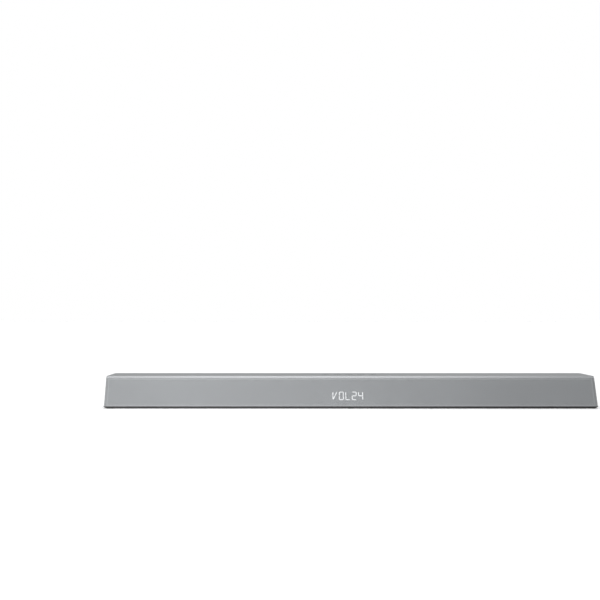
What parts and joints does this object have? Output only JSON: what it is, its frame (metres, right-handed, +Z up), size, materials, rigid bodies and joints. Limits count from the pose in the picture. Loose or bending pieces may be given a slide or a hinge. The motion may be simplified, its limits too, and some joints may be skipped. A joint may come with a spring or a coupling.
{
  "type": "soundbar",
  "caption": "Long low silver soundbar with a leaning perforated grille, lit readout, top keys and a rear recess for sockets.",
  "frame": {"origin": "on the floor, under the middle of the bar", "axes": "+X along the bar, to the right of someone facing its grille; +Y to its back; +Z up"},
  "size_m": [0.98, 0.105, 0.0635],
  "materials": {
    "baffle_board": "black",
    "basket_metal": "black enamel",
    "black_body": "fine black moulding texture",
    "capacitor_can": "sleeve",
    "circuit_board": "green lacquer",
    "cone": "woven grey",
    "dome_silk": "coated silk",
    "foot_rubber": "matt",
    "gasket_foam": "closed foam",
    "grille_metal": "satin silver perforated sheet",
    "heat_sink_aluminium": "anodised",
    "insert_brass": "plain",
    "key_cap": "satin silver",
    "motor_steel": "plated",
    "readout_window": "smoked",
    "ribbon_cable": "white",
    "screw_steel": "black zinc",
    "scrim_cloth": "black acoustic cloth",
    "shield_can": "tinned",
    "shutter_plastic": "black",
    "silver_body": "satin silver paint on plastic",
    "socket_metal": "nickel",
    "socket_plastic": "black",
    "surround_rubber": "matt",
    "transformer_core": "ferrite and tape",
    "tweeter_plastic": "fine grain",
    "wire": "vinyl"
  },
  "bodies": {
    "cabinet": {"ac_inlet": "socket_plastic", "ac_lead": "wire", "aux_socket": "socket_plastic", "connector_bay": "black_body", "cover_screws": "screw_steel", "display_board": "circuit_board", "display_light_guide": "readout_window", "display_ribbon": "ribbon_cable", "driver_gaskets": "gasket_foam", "end_cap_left": "silver_body", "end_cap_right": "silver_body", "front_baffle": "baffle_board", "front_grille": "grille_metal", "grille_scrim": "scrim_cloth", "hdmi_in_socket": "socket_metal", "hdmi_out_socket": "socket_metal", "heat_sink": "heat_sink_aluminium", "key_board": "circuit_board", "lower_housing": "black_body", "main_board": "circuit_board", "optical_socket": "socket_plastic", "power_board": "circuit_board", "power_capacitors": "capacitor_can", "rubber_feet": "foot_rubber", "small_screws": "screw_steel", "speaker_harness_left": "wire", "speaker_harness_right": "wire", "top_cover": "silver_body", "transformer": "transformer_core", "tweeter_left_housing": "tweeter_plastic", "tweeter_left_magnet": "motor_steel", "tweeter_right_housing": "tweeter_plastic", "tweeter_right_magnet": "motor_steel", "usb_socket": "socket_metal", "wall_mount_inserts": "insert_brass", "wireless_module": "shield_can", "woofer_inner_left_basket": "basket_metal", "woofer_inner_left_magnet": "motor_steel", "woofer_inner_left_suspension": "surround_rubber", "woofer_inner_right_basket": "basket_metal", "woofer_inner_right_magnet": "motor_steel", "woofer_inner_right_suspension": "surround_rubber", "woofer_outer_left_basket": "basket_metal", "woofer_outer_left_magnet": "motor_steel", "woofer_outer_left_suspension": "surround_rubber", "woofer_outer_right_basket": "basket_metal", "woofer_outer_right_magnet": "motor_steel", "woofer_outer_right_suspension": "surround_rubber"},
    "cone_inner_left": {"woofer_inner_left_cone": "cone"},
    "cone_outer_left": {"woofer_outer_left_cone": "cone"},
    "cone_inner_right": {"woofer_inner_right_cone": "cone"},
    "cone_outer_right": {"woofer_outer_right_cone": "cone"},
    "dome_left": {"tweeter_left_dome": "dome_silk"},
    "dome_right": {"tweeter_right_dome": "dome_silk"},
    "key_power": {"key_power": "key_cap"},
    "key_source": {"key_source": "key_cap"},
    "key_volume_down": {"key_volume_down": "key_cap"},
    "key_volume_up": {"key_volume_up": "key_cap"},
    "key_pairing": {"key_pairing": "key_cap"},
    "shutter": {"optical_shutter": "shutter_plastic"}
  },
  "joints": [
    {"name": "woofer_inner_left_stroke", "type": "slide", "parent": "cabinet", "child": "cone_inner_left", "axis": [0, -0.9386, 0.3451], "range_m": [-0.003, 0.003], "stiffness_N_per_m": 1200, "deforming": ["woofer_inner_left_suspension"]},
    {"name": "woofer_outer_left_stroke", "type": "slide", "parent": "cabinet", "child": "cone_outer_left", "axis": [0, -0.9386, 0.3451], "range_m": [-0.003, 0.003], "stiffness_N_per_m": 1200, "deforming": ["woofer_outer_left_suspension"]},
    {"name": "woofer_inner_right_stroke", "type": "slide", "parent": "cabinet", "child": "cone_inner_right", "axis": [0, -0.9386, 0.3451], "range_m": [-0.003, 0.003], "stiffness_N_per_m": 1200, "deforming": ["woofer_inner_right_suspension"]},
    {"name": "woofer_outer_right_stroke", "type": "slide", "parent": "cabinet", "child": "cone_outer_right", "axis": [0, -0.9386, 0.3451], "range_m": [-0.003, 0.003], "stiffness_N_per_m": 1200, "deforming": ["woofer_outer_right_suspension"]},
    {"name": "tweeter_left_stroke", "type": "slide", "parent": "cabinet", "child": "dome_left", "axis": [0, -0.9386, 0.3451], "range_m": [-0.0004, 0.0004], "stiffness_N_per_m": 1500},
    {"name": "tweeter_right_stroke", "type": "slide", "parent": "cabinet", "child": "dome_right", "axis": [0, -0.9386, 0.3451], "range_m": [-0.0004, 0.0004], "stiffness_N_per_m": 1500},
    {"name": "key_power_press", "type": "slide", "parent": "cabinet", "child": "key_power", "axis": [0, 0, -1], "range_m": [0, 0.0006], "stiffness_N_per_m": 800, "springref_m": -0.0004},
    {"name": "key_source_press", "type": "slide", "parent": "cabinet", "child": "key_source", "axis": [0, 0, -1], "range_m": [0, 0.0006], "stiffness_N_per_m": 800, "springref_m": -0.0004},
    {"name": "key_volume_down_press", "type": "slide", "parent": "cabinet", "child": "key_volume_down", "axis": [0, 0, -1], "range_m": [0, 0.0006], "stiffness_N_per_m": 800, "springref_m": -0.0004},
    {"name": "key_volume_up_press", "type": "slide", "parent": "cabinet", "child": "key_volume_up", "axis": [0, 0, -1], "range_m": [0, 0.0006], "stiffness_N_per_m": 800, "springref_m": -0.0004},
    {"name": "key_pairing_press", "type": "slide", "parent": "cabinet", "child": "key_pairing", "axis": [0, 0, -1], "range_m": [0, 0.0006], "stiffness_N_per_m": 800, "springref_m": -0.0004},
    {"name": "optical_shutter_swing", "type": "hinge", "parent": "cabinet", "child": "shutter", "pos_m": [0.072, 0.0361, 0.0279], "axis": [1, 0, 0], "range_deg": [-80, 0], "stiffness_Nm_per_rad": 0.0004, "springref_deg": 17.19}
  ]
}
